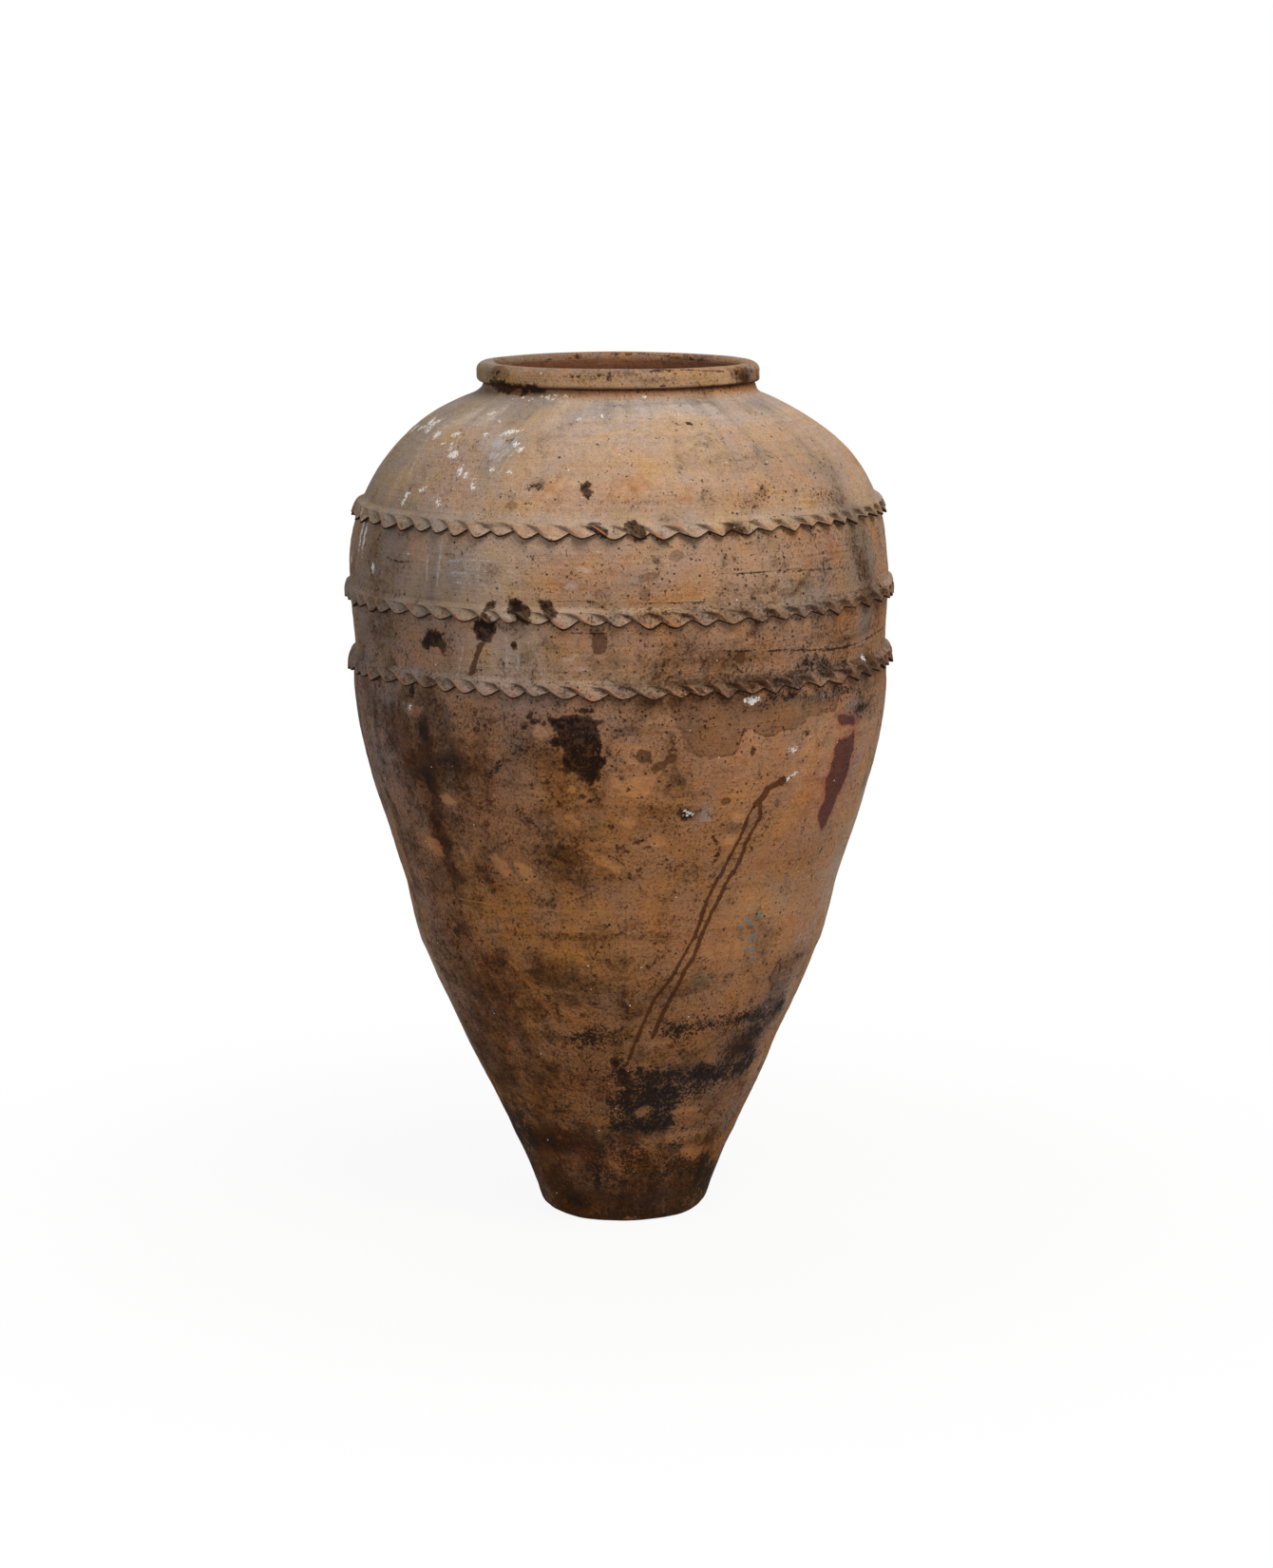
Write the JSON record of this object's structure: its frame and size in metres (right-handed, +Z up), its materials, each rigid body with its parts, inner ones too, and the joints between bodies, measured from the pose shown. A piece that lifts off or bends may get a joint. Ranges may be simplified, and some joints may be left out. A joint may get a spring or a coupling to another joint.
{
  "type": "storage jar",
  "caption": "Tall handleless earthenware storage jar of amphora shape, with a narrow foot, wide belly, short neck with rolled rim and thumb-pinched clay ropes round the belly.",
  "frame": {"origin": "centre of the flat foot, on the floor", "axes": "+Z up along the jar's axis from the foot to the mouth, -Y towards the viewer of the picture"},
  "size_m": [0.6394, 0.6394, 1],
  "materials": {
    "foot_clay": "matte, stained",
    "wall_clay": "matte, weathered",
    "shoulder_clay": "matte, weathered",
    "rope_clay": "matte, worn edges"
  },
  "bodies": {
    "root": {"base_slab": "foot_clay", "foot_lift": "foot_clay", "lower_lift": "wall_clay", "middle_lift": "wall_clay", "lower_belly_ring": "wall_clay", "upper_belly_ring": "wall_clay", "shoulder": "shoulder_clay", "neck_collar": "shoulder_clay", "rim": "shoulder_clay", "lower_rope": "rope_clay", "middle_rope": "rope_clay", "upper_rope": "rope_clay"}
  },
  "joints": []
}
